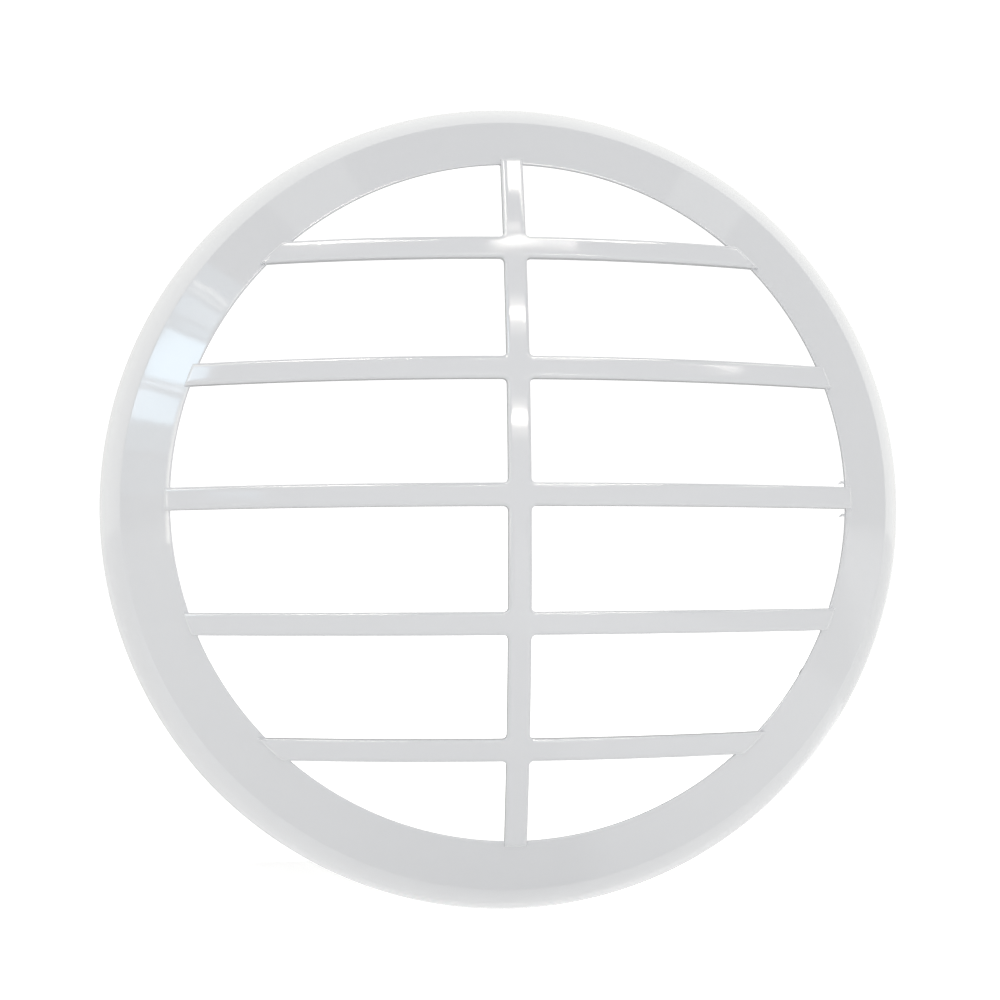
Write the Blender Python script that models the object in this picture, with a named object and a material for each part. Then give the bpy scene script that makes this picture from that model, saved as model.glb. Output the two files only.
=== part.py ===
"""Round domed front grille of a bathroom extractor fan, with the sprung fixings behind its rim.

The grille faces -Y and +Z is up. The origin is on its axis, in the plane of the wall or ceiling that it
sits against. Every piece is modelled in the rim's own frame, whose z is the height in front of the rim's
back edge, and an empty turns that frame to face -Y.
"""

import bmesh
import bpy
from math import atan2, cos, hypot, pi, radians, sin, sqrt, tan
from mathutils import Matrix, Vector

# Driving dimensions, in metres.
OUTER_RADIUS = 0.145
CREST_RADIUS = 0.1343
CREST_HEIGHT = 0.0194
INNER_RADIUS = 0.1153
INNER_HEIGHT = 0.0340
WALL = 0.0019
FLANK_TURN = radians(22)
RIM_EDGE_WIDTH = 0.004
RIM_BEAD_HEIGHT = 0.003
EDGE_DRAFT = 0.0004

BAR_WIDTH = 0.0075
BAR_DEPTH = 0.0045
BAR_PITCH = 0.0418
BARS_EACH_SIDE = 2
BAR_END_RADIUS = 0.1172
BAR_END_HEIGHT = 0.0360
DOME_HEIGHT = 0.0609
BAR_EDGE = 0.0014

SEAL_THICKNESS = 0.002
SEAL_WIDTH = 0.003
SEAL_INSET = 0.0005
GAP = 0.0003

STATION_ANGLES = (radians(90), radians(210), radians(330))
PIN_RADIUS_ON_RING = 0.1289
PIN_HEIGHT = 0.0076
RIB_COUNT = 12
RIB_WIDTH = 0.0016
RIB_START = 0.118

BRACKET_SHEET = 0.0008
BRACKET_LENGTH = 0.029
BRACKET_WIDTH = 0.0108
BRACKET_BASE_HEIGHT = 0.0125
EAR_LENGTH = 0.0084
EAR_TIP_HEIGHT = 0.0036
SCREW_SPACING = 0.011

PIN_RADIUS = 0.002
PIN_HEAD_RADIUS = 0.0029
PIN_HEAD = 0.0008
WIRE = 0.0016
COIL_RADIUS = 0.0032
COIL_PITCH = 0.0017
COIL_TURNS = 1.5
COIL_START = 0.00095
LEG_TILT = radians(8)
LEG_REACH = 0.046
LEG_PLANE = -0.001
LEG_SHIFT_END = 0.013
HOOK = 0.0048
HOOK_TURN = radians(50)

BOSS_RADIUS = 0.003
SCREW_HOLE_RADIUS = 0.0016
SHANK_RADIUS = 0.0012
SHANK_LENGTH = 0.0062
HEAD_RADIUS = 0.0025
HEAD_HEIGHT = 0.0014

# Facets.
RING_STEPS = 96
SLICE = 0.0115
ROUND_STEPS = 16
SCREW_STEPS = 12


def clear_scene():
    for item in list(bpy.data.objects):
        bpy.data.objects.remove(item, do_unlink=True)


def material(name, colour, roughness, metallic=0.0):
    made = bpy.data.materials.new(name)
    made.use_nodes = True
    shader = made.node_tree.nodes["Principled BSDF"]
    shader.inputs["Base Color"].default_value = (*colour, 1.0)
    shader.inputs["Roughness"].default_value = roughness
    shader.inputs["Metallic"].default_value = metallic
    return made


def frame_empty(name, matrix, parent=None):
    made = bpy.data.objects.new(name, None)
    bpy.context.scene.collection.objects.link(made)
    made.parent = parent
    made.matrix_local = matrix
    return made


def object_of(name, bm, parent, finish=None):
    """The bmesh as a new object under parent, with its normals out and its shallow edges smooth."""
    bmesh.ops.recalc_face_normals(bm, faces=bm.faces)
    mesh = bpy.data.meshes.new(name)
    bm.to_mesh(mesh)
    bm.free()
    made = bpy.data.objects.new(name, mesh)
    bpy.context.scene.collection.objects.link(made)
    made.parent = parent
    if finish:
        mesh.materials.append(finish)
    mesh.shade_smooth()
    mesh.set_sharp_from_angle(angle=radians(35))
    return made


def helper(made):
    """A tool that joins or cuts another piece, and isn't a piece itself."""
    made.hide_render = True
    made.display_type = "WIRE"
    return made


def boolean(target, tool, operation):
    step = target.modifiers.new(tool.name, "BOOLEAN")
    step.operation = operation
    step.solver = "EXACT"
    step.object = helper(tool)


def turned(profile, steps):
    """A closed ring: the (radius, height) outline turned about the z axis."""
    bm = bmesh.new()
    loops = []
    for i in range(steps):
        turn = 2 * pi * i / steps
        loops.append([bm.verts.new((r * cos(turn), r * sin(turn), h)) for r, h in profile])
    for i, loop in enumerate(loops):
        after = loops[(i + 1) % steps]
        for j in range(len(profile)):
            k = (j + 1) % len(profile)
            bm.faces.new((loop[j], loop[k], after[k], after[j]))
    return bm


def cylinder(radius, length, steps=ROUND_STEPS):
    """A cylinder along z, centred on the origin."""
    bm = bmesh.new()
    bmesh.ops.create_cone(bm, cap_ends=True, segments=steps, radius1=radius, radius2=radius, depth=length)
    return bm


def box(size, centre):
    bm = bmesh.new()
    bmesh.ops.create_cube(bm, size=1.0)
    bmesh.ops.scale(bm, vec=size, verts=bm.verts)
    bmesh.ops.translate(bm, vec=centre, verts=bm.verts)
    return bm


def added(bm, other):
    """Puts the second bmesh's shapes in the first one."""
    mesh = bpy.data.meshes.new("shape")
    other.to_mesh(mesh)
    other.free()
    bm.from_mesh(mesh)
    bpy.data.meshes.remove(mesh)
    return bm


# The ring's wall, as heights in front of the rim's back edge.

BAND_SLOPE = (INNER_HEIGHT - CREST_HEIGHT) / (CREST_RADIUS - INNER_RADIUS)
BAND_ANGLE = atan2(INNER_HEIGHT - CREST_HEIGHT, CREST_RADIUS - INNER_RADIUS)


def band_height(radius):
    """Height of the sloping band's outer face."""
    return INNER_HEIGHT - (radius - INNER_RADIUS) * BAND_SLOPE


def band_inside(radius):
    """Height of the sloping band's inner face."""
    return band_height(radius) - WALL / cos(BAND_ANGLE)


def band_middle(radius):
    return (band_height(radius) + band_inside(radius)) / 2


def flank(inset, steps=5):
    """The rim's flank from its back edge up to the crest: an arc that bulges outwards, set in by inset."""
    run, rise = CREST_RADIUS - OUTER_RADIUS, CREST_HEIGHT
    chord = hypot(run, rise)
    arc_radius = chord / (2 * sin(FLANK_TURN / 2))
    middle = Vector(((OUTER_RADIUS + CREST_RADIUS) / 2, CREST_HEIGHT / 2))
    inward = Vector((-rise, run)).normalized()
    centre = middle + inward * arc_radius * cos(FLANK_TURN / 2)
    start = atan2(0 - centre.y, OUTER_RADIUS - centre.x)
    return [
        (
            centre.x + (arc_radius - inset) * cos(start + FLANK_TURN * i / steps),
            centre.y + (arc_radius - inset) * sin(start + FLANK_TURN * i / steps),
        )
        for i in range(steps + 1)
    ]


def inside_crest():
    """Where the flank's and the band's inner faces meet."""
    radius, height = flank(WALL)[-1]
    while height > band_inside(radius):
        radius, height = radius + 0.00002, height - 0.00002 * tan(radians(50))
    return radius, height


def ring_profile():
    outside = flank(0)
    inside = [(r, h) for r, h in flank(WALL) if RIM_BEAD_HEIGHT < h < inside_crest()[1]]
    rim_inner = OUTER_RADIUS - RIM_EDGE_WIDTH
    edge_inner = INNER_RADIUS + EDGE_DRAFT
    return (
        outside
        + [(INNER_RADIUS, INNER_HEIGHT), (edge_inner, band_inside(edge_inner))]
        + [inside_crest()]
        + inside[::-1]
        + [(rim_inner, RIM_BEAD_HEIGHT), (rim_inner, 0)]
    )


def dome(x, y):
    """Height of the bars' front face."""
    share = (x * x + y * y) / INNER_RADIUS**2
    return BAR_END_HEIGHT + (DOME_HEIGHT - BAR_END_HEIGHT) * (1 - share)


def bar_lattice():
    """The five level bars and the upright one, flat, as one plate with its front face at z = 0."""
    half = BAR_WIDTH / 2
    reach = BAR_END_RADIUS + BAR_WIDTH
    rows = [i * BAR_PITCH for i in range(-BARS_EACH_SIDE, BARS_EACH_SIDE + 1)]
    xs = [-reach, -half, half, reach]
    ys = [-reach]
    for row in rows:
        ys += [row - half, row + half]
    ys.append(reach)
    bm = bmesh.new()
    grid = [[bm.verts.new((x, y, 0)) for y in ys] for x in xs]
    for i in range(len(xs) - 1):
        for j in range(len(ys) - 1):
            upright = i == 1
            level = j % 2 == 1
            if upright or level:
                bm.faces.new((grid[i][j], grid[i + 1][j], grid[i + 1][j + 1], grid[i][j + 1]))
    loose = [v for v in bm.verts if not v.link_faces]
    bmesh.ops.delete(bm, geom=loose, context="VERTS")
    made = bmesh.ops.extrude_face_region(bm, geom=bm.faces[:])
    lower = [g for g in made["geom"] if isinstance(g, bmesh.types.BMVert)]
    bmesh.ops.translate(bm, vec=(0, 0, -BAR_DEPTH), verts=lower)
    bmesh.ops.recalc_face_normals(bm, faces=bm.faces)
    return bm


def evaluated_bmesh(made):
    """The object's mesh with its modifiers, as a bmesh, and the object is removed."""
    bpy.context.view_layer.update()
    graph = bpy.context.evaluated_depsgraph_get()
    bm = bmesh.new()
    bm.from_object(made, graph)
    for step in made.modifiers:
        if step.type == "BOOLEAN":
            bpy.data.objects.remove(step.object)
    bpy.data.objects.remove(made)
    return bm


def slice_along(bm, axis):
    """Cuts the mesh by planes a slice apart, so that it can bend."""
    count = int(BAR_END_RADIUS / SLICE)
    for i in range(-count, count + 1):
        plane = [0.0, 0.0, 0.0]
        plane[axis] = (i + 0.5) * SLICE
        normal = [0.0, 0.0, 0.0]
        normal[axis] = 1.0
        everything = bm.verts[:] + bm.edges[:] + bm.faces[:]
        bmesh.ops.bisect_plane(bm, geom=everything, plane_co=plane, plane_no=normal)


def bars(parent):
    """The lattice with round ends, its front edges eased, bent to the dome."""
    flat = object_of("flat_bars", bar_lattice(), parent)
    disc = object_of("bar_ends", cylinder(BAR_END_RADIUS, 4 * BAR_DEPTH, RING_STEPS), parent)
    boolean(flat, disc, "INTERSECT")
    bm = evaluated_bmesh(flat)
    bmesh.ops.dissolve_limit(bm, angle_limit=radians(1), verts=bm.verts, edges=bm.edges)
    front = [e for e in bm.edges if all(abs(v.co.z) < 1e-6 for v in e.verts) and len(e.link_faces) == 2]
    rim = [e for e in front if e.calc_face_angle() > radians(45)]
    bmesh.ops.bevel(bm, geom=rim, offset=BAR_EDGE, segments=1, affect="EDGES", clamp_overlap=True)
    slice_along(bm, 0)
    slice_along(bm, 1)
    bmesh.ops.triangulate(bm, faces=[f for f in bm.faces if len(f.verts) > 4])
    for vertex in bm.verts:
        vertex.co.z += dome(vertex.co.x, vertex.co.y)
    return object_of("domed_bars", bm, parent)


def rib():
    """A stiffening web across the inside of the ring's wall, at angle 0."""
    outer = inside_crest()[0]
    outline = [
        (RIB_START, band_middle(RIB_START)),
        (outer, band_middle(outer)),
        (flank(WALL / 2)[2][0], flank(WALL / 2)[2][1]),
        (flank(WALL)[2][0] - 0.0012, flank(WALL)[2][1]),
        (outer - 0.004, CREST_HEIGHT - 0.0065),
        (RIB_START, band_inside(RIB_START) - 0.0004),
    ]
    bm = bmesh.new()
    sides = [[bm.verts.new((r, side * RIB_WIDTH / 2, h)) for r, h in outline] for side in (-1, 1)]
    bm.faces.new(sides[0])
    bm.faces.new(sides[1][::-1])
    for i in range(len(outline)):
        j = (i + 1) % len(outline)
        bm.faces.new((sides[0][i], sides[1][i], sides[1][j], sides[0][j]))
    return bm


def ribs(parent):
    bm = bmesh.new()
    for i in range(RIB_COUNT):
        web = rib()
        turn = Matrix.Rotation(2 * pi * (i + 0.5) / RIB_COUNT, 3, "Z")
        bmesh.ops.rotate(web, cent=(0, 0, 0), matrix=turn, verts=web.verts)
        added(bm, web)
    return object_of("ribs", bm, parent)


def boss_places():
    """Where the screw bosses stand, as (x, y) in the rim's frame."""
    return [
        Matrix.Rotation(turn, 2) @ Vector((PIN_RADIUS_ON_RING, side * SCREW_SPACING))
        for turn in STATION_ANGLES
        for side in (-1, 1)
    ]


def bosses(parent):
    """Screw bosses from the bracket's plane up into the band's wall."""
    foot = BRACKET_BASE_HEIGHT + BRACKET_SHEET + GAP
    bm = bmesh.new()
    for place in boss_places():
        boss = cylinder(BOSS_RADIUS, 0.002)
        for vertex in boss.verts:
            x, y = vertex.co.x + place.x, vertex.co.y + place.y
            height = band_middle(hypot(x, y)) if vertex.co.z > 0 else foot
            vertex.co = (x, y, height)
        added(bm, boss)
    return object_of("bosses", bm, parent)


def pilot_holes(parent):
    foot = BRACKET_BASE_HEIGHT + BRACKET_SHEET + GAP
    depth = SHANK_LENGTH - BRACKET_SHEET
    bm = bmesh.new()
    for place in boss_places():
        hole = cylinder(SCREW_HOLE_RADIUS, 2 * depth)
        bmesh.ops.translate(hole, vec=(place.x, place.y, foot), verts=hole.verts)
        added(bm, hole)
    return object_of("pilot_holes", bm, parent)


def grille(parent, finish):
    """The one moulding: ring, bars, ribs and bosses."""
    made = object_of("grille_moulding", turned(ring_profile(), RING_STEPS), parent, finish)
    boolean(made, bars(parent), "UNION")
    boolean(made, ribs(parent), "UNION")
    boolean(made, bosses(parent), "UNION")
    boolean(made, pilot_holes(parent), "DIFFERENCE")
    return made


def seal(parent, finish):
    """Foam tape on the rim's back edge."""
    outer = OUTER_RADIUS - SEAL_INSET
    inner = outer - SEAL_WIDTH
    profile = [(outer, -SEAL_THICKNESS), (outer, -GAP), (inner, -GAP), (inner, -SEAL_THICKNESS)]
    return object_of("foam_seal", turned(profile, RING_STEPS), parent, finish)


# The spring stations. In a station's frame x points out from the grille's axis, y runs round the rim and z
# is the height, and the origin is at the middle of the spring's pin.


def bracket(number, parent, finish):
    """A pressed U of sheet: a base across two bosses, and two ears that hold the pin."""
    base_z = BRACKET_BASE_HEIGHT - PIN_HEIGHT + BRACKET_SHEET / 2
    height = BRACKET_BASE_HEIGHT - EAR_TIP_HEIGHT + BRACKET_SHEET / 2
    base = box((BRACKET_WIDTH, BRACKET_LENGTH, BRACKET_SHEET), (0, 0, base_z))
    made = object_of(f"spring_bracket_{number}", base, parent, finish)
    ears = bmesh.new()
    for side in (-1, 1):
        place = (side * (BRACKET_WIDTH - BRACKET_SHEET) / 2, 0, base_z - height / 2)
        added(ears, box((BRACKET_SHEET, EAR_LENGTH, height), place))
    boolean(made, object_of(f"ears_{number}", ears, parent), "UNION")
    holes = cylinder(PIN_RADIUS + GAP, 2 * BRACKET_WIDTH)
    bmesh.ops.rotate(holes, cent=(0, 0, 0), matrix=Matrix.Rotation(pi / 2, 3, "Y"), verts=holes.verts)
    for side in (-1, 1):
        hole = cylinder(SHANK_RADIUS + GAP, 4 * BRACKET_SHEET)
        bmesh.ops.translate(hole, vec=(0, side * SCREW_SPACING, base_z), verts=hole.verts)
        added(holes, hole)
    boolean(made, object_of(f"bracket_holes_{number}", holes, parent), "DIFFERENCE")
    return made


def pin(number, parent, finish):
    """A headed pin through both ears, along x."""
    half = BRACKET_WIDTH / 2 + GAP
    outline = [
        (0, half + PIN_HEAD),
        (PIN_HEAD_RADIUS * 0.8, half + PIN_HEAD),
        (PIN_HEAD_RADIUS, half + PIN_HEAD / 2),
        (PIN_HEAD_RADIUS, half),
        (PIN_RADIUS, half),
    ]
    outline += [(r, -x) for r, x in outline[::-1]]
    made = lathe(outline, Matrix.Rotation(pi / 2, 3, "Y"))
    return object_of(f"spring_pin_{number}", made, parent, finish)


def lathe(outline, turn, steps=ROUND_STEPS):
    """A solid turned from an outline of (radius, height) that starts and ends on the axis."""
    bm = bmesh.new()
    line = [bm.verts.new((r, 0, h)) for r, h in outline]
    edges = [bm.edges.new(pair) for pair in zip(line, line[1:])]
    bmesh.ops.spin(bm, geom=line + edges, cent=(0, 0, 0), axis=(0, 0, 1), angle=2 * pi, steps=steps)
    bmesh.ops.remove_doubles(bm, verts=bm.verts, dist=0.00001)
    bmesh.ops.rotate(bm, cent=(0, 0, 0), matrix=turn, verts=bm.verts)
    return bm


def screw(number, side, parent, finish):
    """A pan-head screw that holds the bracket to a boss, its head towards the wall."""
    top = BRACKET_BASE_HEIGHT - PIN_HEIGHT - GAP
    outline = [
        (0, top - HEAD_HEIGHT),
        (HEAD_RADIUS * 0.72, top - HEAD_HEIGHT),
        (HEAD_RADIUS, top - HEAD_HEIGHT * 0.45),
        (HEAD_RADIUS, top),
        (SHANK_RADIUS, top),
        (SHANK_RADIUS, top + SHANK_LENGTH - SHANK_RADIUS),
        (0, top + SHANK_LENGTH),
    ]
    turned = lathe(outline, Matrix.Identity(3), SCREW_STEPS)
    made = object_of(f"bracket_screw_{number}{side}", turned, parent, finish)
    made.location.y = SCREW_SPACING if side == "a" else -SCREW_SPACING
    return made


def spring_path(side):
    """Centre line of half a spring: its coil round the pin, then its leg and the hook at the leg's end."""
    points = []
    turns = round(COIL_TURNS * 14)
    first = LEG_TILT - 2 * pi * COIL_TURNS
    for i in range(turns + 1):
        share = i / turns
        turn = first + (LEG_TILT - first) * share
        x = side * (COIL_START + COIL_PITCH * COIL_TURNS * share)
        points.append(Vector((x, side * COIL_RADIUS * sin(turn), COIL_RADIUS * cos(turn))))
    start = points[-1]
    steps = 8
    for i in range(1, steps + 1):
        along = LEG_REACH * i / steps
        shift = min(1.0, along / LEG_SHIFT_END)
        eased = shift * shift * (3 - 2 * shift)
        x = start.x + (LEG_PLANE - start.x) * eased
        points.append(Vector((x, start.y + side * along, start.z - along * tan(LEG_TILT))))
    bend = 4
    for i in range(1, bend + 1):
        turn = -LEG_TILT + HOOK_TURN * min(1.0, i / (bend - 1))
        step = HOOK / bend
        points.append(points[-1] + Vector((0, side * step * cos(turn), step * sin(turn))))
    return points


def spring_half(name, side, parent, finish):
    curve = bpy.data.curves.new(name, "CURVE")
    curve.dimensions = "3D"
    curve.bevel_depth = WIRE / 2
    curve.bevel_resolution = 2
    curve.use_fill_caps = True
    points = spring_path(side)
    spline = curve.splines.new("POLY")
    spline.points.add(len(points) - 1)
    for item, place in zip(spline.points, points):
        item.co = (*place, 1.0)
    curve.materials.append(finish)
    made = bpy.data.objects.new(name, curve)
    bpy.context.scene.collection.objects.link(made)
    made.parent = parent
    return made


def main():
    clear_scene()
    white_plastic = material("white_plastic", (0.80, 0.81, 0.82), 0.12)
    zinc = material("zinc_plate", (0.66, 0.67, 0.68), 0.35, 1.0)
    spring_steel = material("spring_steel", (0.55, 0.56, 0.58), 0.30, 1.0)
    foam = material("white_foam", (0.72, 0.72, 0.70), 0.90)
    facing_room = Matrix.Translation((0, -SEAL_THICKNESS, 0)) @ Matrix.Rotation(pi / 2, 4, "X")
    rim = frame_empty("rim_frame", facing_room)
    grille(rim, white_plastic)
    seal(rim, foam)
    for number, turn in enumerate(STATION_ANGLES, start=1):
        place = Matrix.Rotation(turn, 4, "Z") @ Matrix.Translation((PIN_RADIUS_ON_RING, 0, PIN_HEIGHT))
        station = frame_empty(f"station_{number}", place, rim)
        bracket(number, station, zinc)
        pin(number, station, spring_steel)
        for side in "ab":
            screw(number, side, station, zinc)
        spring_half(f"spring_{number}_left", 1, station, spring_steel)
        spring_half(f"spring_{number}_right", -1, station, spring_steel)


main()
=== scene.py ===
"""Looks of the round domed grille of a bathroom extractor fan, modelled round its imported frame.

Every piece is modelled in the rim's own frame, whose x runs along the level bars, y along the upright bar
and z is the height in front of the rim's back edge. It is then turned to face -Y, where the frame has it.
"""

from math import atan2, cos, hypot, pi, radians, sin, tan

import bmesh
import bpy
from mathutils import Matrix, Vector


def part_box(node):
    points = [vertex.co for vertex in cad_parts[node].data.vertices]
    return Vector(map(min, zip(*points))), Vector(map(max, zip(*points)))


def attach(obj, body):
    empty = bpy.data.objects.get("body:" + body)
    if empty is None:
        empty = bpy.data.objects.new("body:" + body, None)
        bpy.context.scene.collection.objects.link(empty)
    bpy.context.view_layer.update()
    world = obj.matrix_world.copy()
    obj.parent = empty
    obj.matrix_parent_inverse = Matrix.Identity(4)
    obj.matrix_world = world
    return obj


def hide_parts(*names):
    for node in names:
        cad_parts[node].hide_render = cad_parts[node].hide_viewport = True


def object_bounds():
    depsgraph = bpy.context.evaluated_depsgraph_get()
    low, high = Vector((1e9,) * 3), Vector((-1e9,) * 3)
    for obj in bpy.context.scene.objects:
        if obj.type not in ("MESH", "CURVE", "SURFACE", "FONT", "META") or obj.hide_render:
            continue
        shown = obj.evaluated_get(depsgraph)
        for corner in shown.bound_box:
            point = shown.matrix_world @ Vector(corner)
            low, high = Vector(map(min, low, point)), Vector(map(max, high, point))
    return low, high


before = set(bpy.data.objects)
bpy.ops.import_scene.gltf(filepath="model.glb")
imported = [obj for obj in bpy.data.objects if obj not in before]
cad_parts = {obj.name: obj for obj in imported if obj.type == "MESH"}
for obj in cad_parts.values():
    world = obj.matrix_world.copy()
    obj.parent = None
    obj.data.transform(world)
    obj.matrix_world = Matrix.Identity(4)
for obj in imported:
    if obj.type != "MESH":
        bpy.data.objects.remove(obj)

cad_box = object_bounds()

# Driving dimensions of the moulding, in metres.
OUTER_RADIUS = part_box("grille_moulding")[1].x
CREST_RADIUS = 0.1343
CREST_HEIGHT = 0.0194
INNER_RADIUS = 0.1153
INNER_HEIGHT = 0.0340
WALL = 0.0019
FLANK_TURN = radians(22)
RIM_EDGE_WIDTH = 0.004
RIM_BEAD_HEIGHT = 0.003
EDGE_DRAFT = 0.0004
CREST_ROUNDING = 0.004
EDGE_ROUNDING = 0.00035
BACK_EDGE_ROUNDING = 0.0001
INSIDE_EDGE_ROUNDING = 0.0002
INSIDE_CREST_ROUNDING = 0.001
BEAD_ROUNDING = 0.0005
BEAD_FOOT_ROUNDING = 0.0003

BAR_WIDTH = 0.0075
BAR_DEPTH = 0.0045
BAR_PITCH = 0.0418
BARS_EACH_SIDE = 2
BAR_END_RADIUS = 0.1172
BAR_END_HEIGHT = 0.0360
DOME_HEIGHT = 0.0609
BAR_EDGE = 0.0013
BAR_BACK_EDGE = 0.0004
CROSSING_FILLET = 0.0015

PAD_RADIUS = 0.036
PAD_REACH = 0.1179
PAD_CENTRE = (PAD_REACH - PAD_RADIUS, -0.001)
PAD_BLANK_WIDTH = 0.006
PAD_ROOT = 0.001
PAD_RISE = 0.00035
NIB_RADIUS = 0.0005
NIB_LENGTH = 0.0024
NIB_OFFSETS = (0.0052, -0.0062)

SEAL_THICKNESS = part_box("foam_seal")[1].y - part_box("grille_moulding")[1].y
SEAL_WIDTH = 0.003
SEAL_INSET = 0.0005
GAP = 0.0003

# The spring stations behind the rim.
STATION_ANGLES = (radians(90), radians(210), radians(330))
PIN_RADIUS_ON_RING = 0.1289
PIN_HEIGHT = 0.0076
RIB_COUNT = 12
RIB_WIDTH = 0.0016
RIB_START = 0.118
RIB_DEPTH_AT_FLANK = 0.0012
RIB_BACK_IN = 0.004
RIB_BACK_DOWN = 0.0065

BRACKET_SHEET = 0.0008
BRACKET_LENGTH = 0.029
BRACKET_WIDTH = 0.0108
BRACKET_BASE_HEIGHT = 0.0125
BRACKET_BEND = 0.0012
BRACKET_CORNER = 0.0025
BRACKET_BROKEN_EDGE = 0.00012
EAR_LENGTH = 0.0084
EAR_TIP_HEIGHT = 0.0036
SCREW_SPACING = 0.011

PIN_RADIUS = 0.002
PIN_HEAD_RADIUS = 0.0029
PIN_HEAD = 0.0008
WIRE = 0.0016
COIL_RADIUS = 0.0032
COIL_PITCH = 0.0017
COIL_TURNS = 1.5
COIL_START = 0.00095
LEG_TILT = radians(8)
LEG_REACH = 0.046
LEG_PLANE = -0.001
LEG_SHIFT_END = 0.013
HOOK = 0.0048
HOOK_TURN = radians(50)

BOSS_RADIUS = 0.003
BOSS_EDGE = 0.0003
SCREW_HOLE_RADIUS = 0.0016
SCREW_HOLE_EDGE = 0.0004
SHANK_RADIUS = 0.0012
SHANK_LENGTH = 0.0062
SHANK_POINT = 0.0006
PLAIN_SHANK = 0.0016
HEAD_RADIUS = 0.0025
HEAD_HEIGHT = 0.0014
HEAD_UNDER_EDGE = 0.0001

# How fine the surfaces are.
RING_SIDES = 288
SMALL_SIDES = 48
SLICE = 0.003
CORNER_STEPS = 4
COIL_STEPS = 40

RIM_FRAME = Matrix.Translation((0, -SEAL_THICKNESS, 0)) @ Matrix.Rotation(pi / 2, 4, "X")

# The camera, and the light round the object.
CAMERA_PLACE = (-0.04206, -0.53854, -0.02804)
CAMERA_TURN = (radians(93.126), radians(0.326), radians(-4.241))
LENS = 53.46
FLOOR_DROP = 0.03
FLOOR_SEEN_LIGHT = 0.45
CARD_RADIUS = 0.21
CARD_BEHIND = 0.26
WORLD_LIGHT = 1.455
WORLD_SEEN_LIGHT = 1.1


# Steps of modelling.


def object_mode():
    if bpy.context.mode != "OBJECT":
        bpy.ops.object.mode_set(mode="OBJECT")


def only(made):
    """Selects one object and nothing else, in object mode."""
    object_mode()
    bpy.ops.object.select_all(action="DESELECT")
    made.select_set(True)
    bpy.context.view_layer.objects.active = made


def begin(name, add, **settings):
    """Adds a primitive with nothing else selected, and opens it in edit mode."""
    object_mode()
    bpy.ops.object.select_all(action="DESELECT")
    add(**settings)
    made = bpy.context.object
    made.name = name
    bpy.ops.object.transform_apply(location=True, rotation=True, scale=True)
    bpy.ops.object.mode_set(mode="EDIT")
    bpy.ops.mesh.select_mode(type="VERT")
    bpy.ops.mesh.select_all(action="SELECT")
    return made


def pick(made, kind, test):
    """Selects in edit mode the vertices, edges or faces that pass the test, and nothing else."""
    bpy.ops.mesh.select_mode(type=kind)
    bpy.ops.mesh.select_all(action="DESELECT")
    bm = bmesh.from_edit_mesh(made.data)
    for part in {"VERT": bm.verts, "EDGE": bm.edges, "FACE": bm.faces}[kind]:
        if test(part):
            part.select_set(True)
    bmesh.update_edit_mesh(made.data)


def facing_out(made):
    """Merges doubled points and turns the faces outwards."""
    only(made)
    bpy.ops.object.mode_set(mode="EDIT")
    bpy.ops.mesh.select_all(action="SELECT")
    bpy.ops.mesh.remove_doubles(threshold=0.000001)
    bpy.ops.mesh.normals_make_consistent(inside=False)
    bpy.ops.object.mode_set(mode="OBJECT")
    return made


def combine(target, tool, operation):
    """Joins the tool to the target or cuts it away, and the tool is gone."""
    step = target.modifiers.new("combine", "BOOLEAN")
    step.operation = operation
    step.solver = "EXACT"
    step.object = tool
    only(target)
    bpy.ops.object.modifier_apply(modifier=step.name)
    bpy.data.objects.remove(tool)


def eased(corners, steps=CORNER_STEPS):
    """The outline through the (radius, height, rounding) corners, with an arc at each rounded one."""
    points = []
    for i, (radius, height, rounding) in enumerate(corners):
        here = Vector((radius, height))
        if not rounding:
            points.append(tuple(here))
            continue
        back = (Vector(corners[i - 1][:2]) - here).normalized()
        ahead = (Vector(corners[(i + 1) % len(corners)][:2]) - here).normalized()
        half = back.angle(ahead) / 2
        centre = here + (back + ahead).normalized() * rounding / sin(half)
        start = here + back * rounding / tan(half) - centre
        end = here + ahead * rounding / tan(half) - centre
        turn = pi - 2 * half
        for k in range(steps + 1):
            share = k / steps
            spoke = (start * sin((1 - share) * turn) + end * sin(share * turn)) / sin(turn)
            points.append(tuple(centre + spoke))
    return points


def turned(name, outline, sides=RING_SIDES, closed=True):
    """A circle drawn out through each (radius, height) of the outline: a closed ring, or a capped solid."""
    made = begin(name, bpy.ops.mesh.primitive_circle_add, vertices=sides, radius=outline[0][0])
    bpy.ops.transform.translate(value=(0, 0, outline[0][1]))
    for (radius, height), (next_radius, next_height) in zip(outline, outline[1:]):
        bpy.ops.mesh.extrude_region_move(TRANSFORM_OT_translate={"value": (0, 0, next_height - height)})
        ratio = next_radius / radius
        bpy.ops.transform.resize(value=(ratio, ratio, 1), center_override=(0, 0, next_height))
    bpy.ops.mesh.select_mode(type="EDGE")
    if closed:
        bpy.ops.mesh.select_all(action="DESELECT")
        bpy.ops.mesh.select_non_manifold()
        bpy.ops.mesh.bridge_edge_loops()
    else:
        for height in (outline[0][1], outline[-1][1]):
            pick(made, "EDGE", lambda e: e.is_boundary and abs(e.verts[0].co.z - height) < 1e-7)
            bpy.ops.mesh.edge_face_add()
    return facing_out(made)


def smooth(made, angle=radians(32)):
    only(made)
    bpy.ops.object.shade_smooth_by_angle(angle=angle)


def finished(made, place, body, node, material):
    """The piece in its place, on its body, with its finish, standing for the frame's node."""
    made.matrix_world = place @ made.matrix_world
    only(made)
    bpy.ops.object.transform_apply(location=True, rotation=True, scale=True)
    made.data.materials.clear()
    made.data.materials.append(material)
    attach(made, body)
    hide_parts(node)
    return made


def copied(made, name):
    """A copy with a mesh of its own."""
    another = made.copy()
    another.data = made.data.copy()
    another.name = name
    bpy.context.scene.collection.objects.link(another)
    return another


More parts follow.
